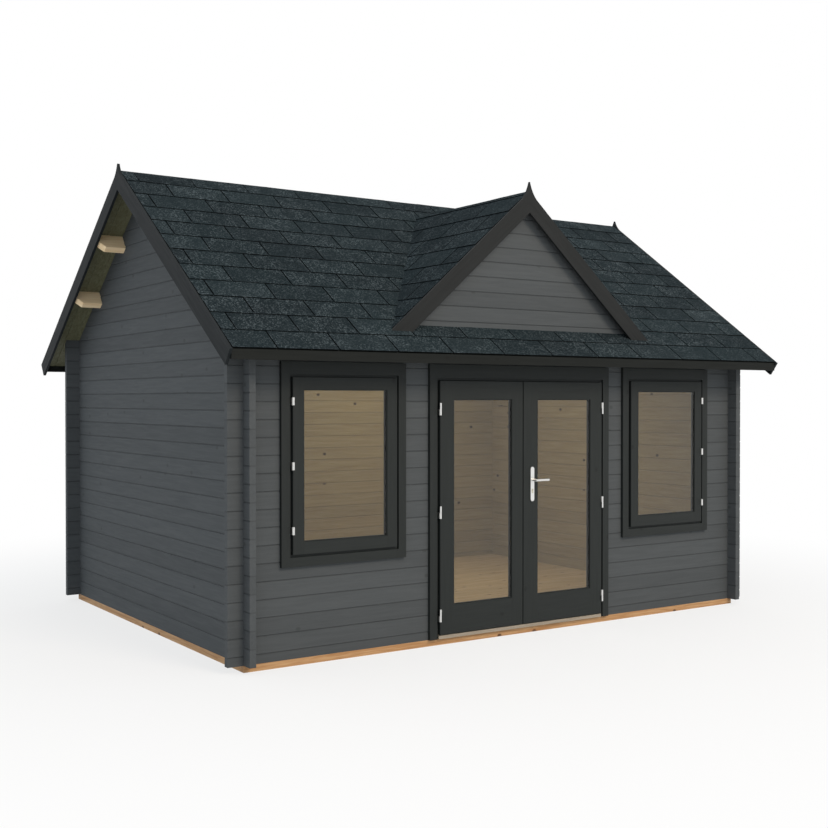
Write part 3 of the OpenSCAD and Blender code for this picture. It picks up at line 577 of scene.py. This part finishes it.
def shingles(name, origin, down, normal, width, length, seed):
    """Courses of tabs from the foot of a slope up past its ridge, where they are cut."""
    return grow(name, shingle_tree, {
        "Courses": math.ceil(length / course_h) + 1, "Columns": math.ceil(width / tab_w) + 2,
        "Width": width, "Tab": tab_w, "Course": course_h, "Length": tab_l, "Thickness": tab_t,
        "Slot": slot_w, "Foot": length, "Curl": 0.004, "Seed": seed, "Material": chip_shingle},
        laid(origin, down, normal))


def loose_tabs(shape):
    """The separate tabs of a mesh, each as a list of its corners."""
    done = set()
    for first in shape.verts:
        if first in done:
            continue
        done.add(first)
        tab = [first]
        for vert in tab:
            near = [edge.other_vert(vert) for edge in vert.link_edges]
            near = [other for other in near if other not in done]
            done.update(near)
            tab += near
        yield tab


wall_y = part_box("front_wall_top")[0].y
dormer_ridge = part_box("dormer_left_roof")[1].z


def under_dormer(point):
    """Whether a point of the front slope lies under the dormer, well inside its edges."""
    inset = 0.03
    half_w = (dormer_ridge - point.z) / math.tan(dormer_pitch)
    return point.y > wall_y + inset and abs(point.x) + inset < half_w


drip, felt_back, felt_t = 0.024, 0.012, 0.0015
slope_l = eave_y / math.cos(roof_pitch) + drip
for side, name, seed in ((-1, "front_shingles", 10), (1, "back_shingles", 12)):
    down, normal = slope(Vector((0, side, 0)), roof_pitch)
    start = Vector((-down.cross(normal).x * roof_x, 0, ridge_z))
    cover = shingles(name, start, down, normal, 2 * roof_x, slope_l, seed)
    trimmed(cover, [((0, 0, 0), (0, -side, 0))])
    shape = bmesh.new()
    shape.from_mesh(cover.data)
    # tabs that would lie wholly under the dormer are left out
    if side < 0:
        hidden = [tab for tab in loose_tabs(shape) if all(under_dormer(v.co) for v in tab)]
        bmesh.ops.delete(shape, geom=sum(hidden, []), context="VERTS")
    # the felt that shows in the slots between the tabs; it is given bare-bitumen black, painted
    # shade in the narrow slots
    felt_l = slope_l - felt_back
    felt = bmesh.ops.create_cube(shape, size=1.0, matrix=laid(start, down, normal)
                                 @ Matrix.Translation((roof_x, felt_l / 2, felt_t / 2))
                                 @ Matrix.Diagonal((2 * roof_x, felt_l, felt_t, 1)))
    # the felt faces get the black of the cut edges: painted shade in the slots
    for face in {f for v in felt["verts"] for f in v.link_faces}:
        face.material_index = cover.data.materials.find(chip_shingle.name)
        face[shape.faces.layers.float["bare_bitumen_and_slot_shade"]] = 1.0
    shape.to_mesh(cover.data)
    shape.free()
    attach(cover, "cabin")

# Dormer shingles: the same tabs on the dormer's two slopes, cut along the valleys where they
# meet the main roof.
dormer_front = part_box("dormer_left_roof")[0].y
dormer_back, dormer_l, valley_lift = -0.15, 1.62, 0.002
front_normal = slope(Vector((0, -1, 0)), roof_pitch)[1]
valley_cut = ((0, 0, ridge_z + valley_lift), -front_normal)
for side, name, seed in ((-1, "dormer_left_shingles", 30), (1, "dormer_right_shingles", 32)):
    down, normal = slope(Vector((side, 0, 0)), dormer_pitch)
    start = Vector((0, dormer_front if side < 0 else dormer_back, dormer_ridge))
    cover = shingles(name, start, down, normal, dormer_back - dormer_front, dormer_l, seed)
    trimmed(cover, [((0, 0, 0), (-side, 0, 0)), valley_cut])
    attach(cover, "cabin")

# Ridge caps: single tabs of the same felt, bent over the ridges and nailed, each lapping the
# one before.
cap_tree, size = node_tree("ridge_caps", {
    "Count": "Int", "Step": "Float", "Length": "Float", "Half width": "Float", "Angle": "Float",
    "Thickness": "Float", "Material": "Material"})
wing = add(cap_tree, "GeometryNodeMeshCube", Vertices_X=3, Vertices_Y=4, Vertices_Z=2,
           Size=add(cap_tree, "ShaderNodeCombineXYZ", X=size["Length"], Y=size["Half width"],
                    Z=size["Thickness"]))
bent = cap_tree.nodes.new("GeometryNodeJoinGeometry")
for side in (-1, 1):
    out = add(cap_tree, "ShaderNodeMath MULTIPLY", i0=size["Half width"], i1=side / 2)
    half = add(cap_tree, "GeometryNodeTransform", Geometry=wing,
               Translation=add(cap_tree, "ShaderNodeCombineXYZ", Y=out))
    fall = add(cap_tree, "ShaderNodeMath MULTIPLY", i0=size["Angle"], i1=-side)
    half = add(cap_tree, "GeometryNodeTransform", Geometry=half,
               Rotation=add(cap_tree, "ShaderNodeCombineXYZ", X=fall))
    cap_tree.links.new(half, bent.inputs[0])
number = add(cap_tree, "GeometryNodeInputIndex")
along = add(cap_tree, "ShaderNodeMath MULTIPLY", i0=number, i1=size["Step"])
spots = add(cap_tree, "GeometryNodePoints", Count=size["Count"],
            Position=add(cap_tree, "ShaderNodeCombineXYZ", X=along))
luck = add(cap_tree, "FunctionNodeRandomValue", 1, {"data_type": "FLOAT"}, i2=0.0, i3=1.0,
           ID=number, Seed=5)
spots = add(cap_tree, "GeometryNodeStoreNamedAttribute", Geometry=spots, Value=luck,
            Name="tab_shade", settings={"data_type": "FLOAT", "domain": "POINT"})
lean = add(cap_tree, "ShaderNodeMath MULTIPLY", i0=size["Step"], i1=-1.0)
lean = add(cap_tree, "ShaderNodeMath DIVIDE", i0=size["Thickness"], i1=lean)
caps = add(cap_tree, "GeometryNodeInstanceOnPoints", Points=spots, Instance=bent.outputs[0],
           Rotation=add(cap_tree, "ShaderNodeCombineXYZ", Y=lean))
close_tree(cap_tree, caps, size["Material"])

cap_l, cap_half, cap_t, cap_lift, past_end = 0.30, 0.15, 0.004, 0.0055, 0.05


def ridge_caps(name, length, angle, matrix):
    """A row of caps along a ridge, with one to spare at each end for the cut."""
    return grow(name, cap_tree, {
        "Count": math.ceil(length / course_h) + 2, "Step": course_h, "Length": cap_l,
        "Half width": cap_half, "Angle": angle, "Thickness": cap_t, "Material": chip_shingle},
        matrix)


main_caps = ridge_caps("ridge_caps", 2 * roof_x, roof_pitch,
                       Matrix.Translation((-roof_x - past_end, 0, ridge_z + cap_lift)))
trimmed(main_caps, [((-roof_x, 0, 0), (-1, 0, 0)), ((roof_x, 0, 0), (1, 0, 0))])
dormer_caps = ridge_caps(
    "dormer_ridge_caps", dormer_back - dormer_front, dormer_pitch,
    Matrix.Translation((0, dormer_front - past_end, dormer_ridge + cap_lift))
    @ Matrix.Rotation(math.pi / 2, 4, "Z"))
trimmed(dormer_caps, [((0, dormer_front, 0), (0, -1, 0)), valley_cut])
for caps in (main_caps, dormer_caps):
    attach(caps, "cabin")

# Door and window joinery: laminated pine, rebated and glued, with two coats of satin
# anthracite paint that lets the grain show a little.
joinery = ("#272b2b", "#222626", "#1d2020")
joinery_paint = {"pitch": 0.9, "start": 0.1, "contrast": 0.5, "roughness": 0.55,
                 "specular": 0.2, "relief": 0.0003}
dress(["door_left_jamb", "door_right_jamb"],
      timber("anthracite_jambs", "Z", "X", joinery, **joinery_paint))
dress(["door_head"], timber("anthracite_head", "X", "Z", joinery, **joinery_paint))
glass_lap = 0.010
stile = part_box("window_glass")[0].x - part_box("left_window_sash")[0].x + glass_lap
for side in ("left", "right"):
    sash_low, sash_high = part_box(side + "_window_sash")
    pane_low, pane_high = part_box(side + "_door_glass")
    for name, rail_from, rail_to in (
            (side + "_window_frame", sash_low.x, sash_high.x),
            (side + "_window_sash", sash_low.x + stile, sash_high.x - stile),
            (side + "_door_leaf", pane_low.x + glass_lap, pane_high.x - glass_lap)):
        dress([name], timber("anthracite_" + name, "Z", "X", joinery, **joinery_paint,
                             rails=(rail_from, rail_to)))

# Threshold: a strip of pale hardwood screwed down across the doorway between the jambs, worn
# dull and greyish.
dress(["door_threshold"],
      timber("pale_threshold", "X", "Y", ("#a89e90", "#8d8375", "#7d7466"), pitch=0.2,
             contrast=0.7, knots=0.0))

# Glass: clear float glass in sealed units, held in the rebates. It has a faint grey-green tint
# and mirrors the studio.
clear_glass, tree = blank("clear_float_glass")
skin = add(tree, "ShaderNodeBsdfPrincipled", Base_Color=linear("#eef2ee"), Roughness=0.0,
           IOR=1.45, Transmission_Weight=1.0)
add(tree, "ShaderNodeOutputMaterial", Surface=skin)
dress(["window_glass", "left_door_glass", "right_door_glass"], clear_glass)

# Hinges, handle plates and lever: satin stainless steel, turned and stamped, screwed on. The
# brushing runs upright and is drawn 4 mm apart so that it shows as a soft sheen.
brush_w = 0.004
steel, tree = blank("satin_stainless_steel")
brushed = add(tree, "ShaderNodeTexNoise", "Fac", Scale=1 / brush_w, Detail=2.0,
              Vector=add(tree, "ShaderNodeMapping", Scale=(1, 1, 0.1),
                         Vector=add(tree, "ShaderNodeTexCoord", "Object")))
skin = add(tree, "ShaderNodeBsdfPrincipled", Base_Color=linear("#e2e2e0"), Metallic=1.0,
           Roughness=add(tree, "ShaderNodeMapRange", Value=brushed, To_Min=0.24, To_Max=0.42))
add(tree, "ShaderNodeOutputMaterial", Surface=skin)
dress(["window_hinges", "door_hinge_posts", "left_hinge_sleeves", "right_hinge_sleeves",
       "handle_plates", "door_lever"], steel)

# Lock cylinders: nickelled brass, a round plug over a narrow tail, let through the plates
# under the lever and standing 2 mm out of them, with a key slot in the plug. The slot is a
# near-black strip standing out of the plug, painted shade in place of a hole. Use has worn
# the nickel unevenly.
worn_w = 0.003
nickel, tree = blank("nickelled_brass")
worn = add(tree, "ShaderNodeTexNoise", "Fac", Scale=1 / worn_w, Detail=2.0,
           Vector=add(tree, "ShaderNodeTexCoord", "Object"))
skin = add(tree, "ShaderNodeBsdfPrincipled", Base_Color=linear("#c9c2b0"), Metallic=1.0,
           Roughness=add(tree, "ShaderNodeMapRange", Value=worn, To_Min=0.22, To_Max=0.38))
add(tree, "ShaderNodeOutputMaterial", Surface=skin)
# the near-black of the key slot is painted shade that stands for the hole
painted_slot_shade, tree = blank("key_slot_shade")
skin = add(tree, "ShaderNodeBsdfPrincipled", Base_Color=linear("#0c0c0c"), Roughness=0.8)
add(tree, "ShaderNodeOutputMaterial", Surface=skin)
plate_low, plate_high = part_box("handle_plates")
lever_low, lever_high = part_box("door_lever")
lock_drop, lock_r, lock_out, lock_deep = 0.072, 0.0085, 0.002, 0.006
tail_x, tail_z, slot_x, slot_z, slot_out = 0.005, 0.024, 0.0007, 0.0045, 0.0003
lock_x = (plate_low.x + plate_high.x) / 2
lock_z = (lever_low.z + lever_high.z) / 2 - lock_drop
round_end, round_step = 140, 14
turns = [math.radians(angle) for angle in range(-round_end, round_end + 1, round_step)]
plug = [(math.sin(turn) * lock_r, math.cos(turn) * lock_r) for turn in turns]
plug += [(tail_x, -tail_z), (-tail_x, -tail_z)]
key_slot_shade = [(-slot_x, -slot_z), (slot_x, -slot_z), (slot_x, slot_z), (-slot_x, slot_z)]
for side, face, name in ((-1, plate_low.y, "outer_lock"), (1, plate_high.y, "inner_lock")):
    shape = bmesh.new()
    for index, (outline, out) in enumerate(((plug, lock_out), (key_slot_shade, lock_out + slot_out))):
        inner, outer = ([shape.verts.new((lock_x + x, y, lock_z + z)) for x, z in outline]
                        for y in (face - side * lock_deep, face + side * out))
        walls = [(inner[i - 1], inner[i], outer[i], outer[i - 1]) for i in range(len(outline))]
        for corners in (inner, outer, *walls):
            shape.faces.new(corners).material_index = index
    bmesh.ops.recalc_face_normals(shape, faces=shape.faces)
    mesh = bpy.data.meshes.new(name)
    shape.to_mesh(mesh)
    shape.free()
    mesh.materials.append(nickel)
    mesh.materials.append(painted_slot_shade)
    lock = put(name, mesh)
    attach(lock, "right_door")
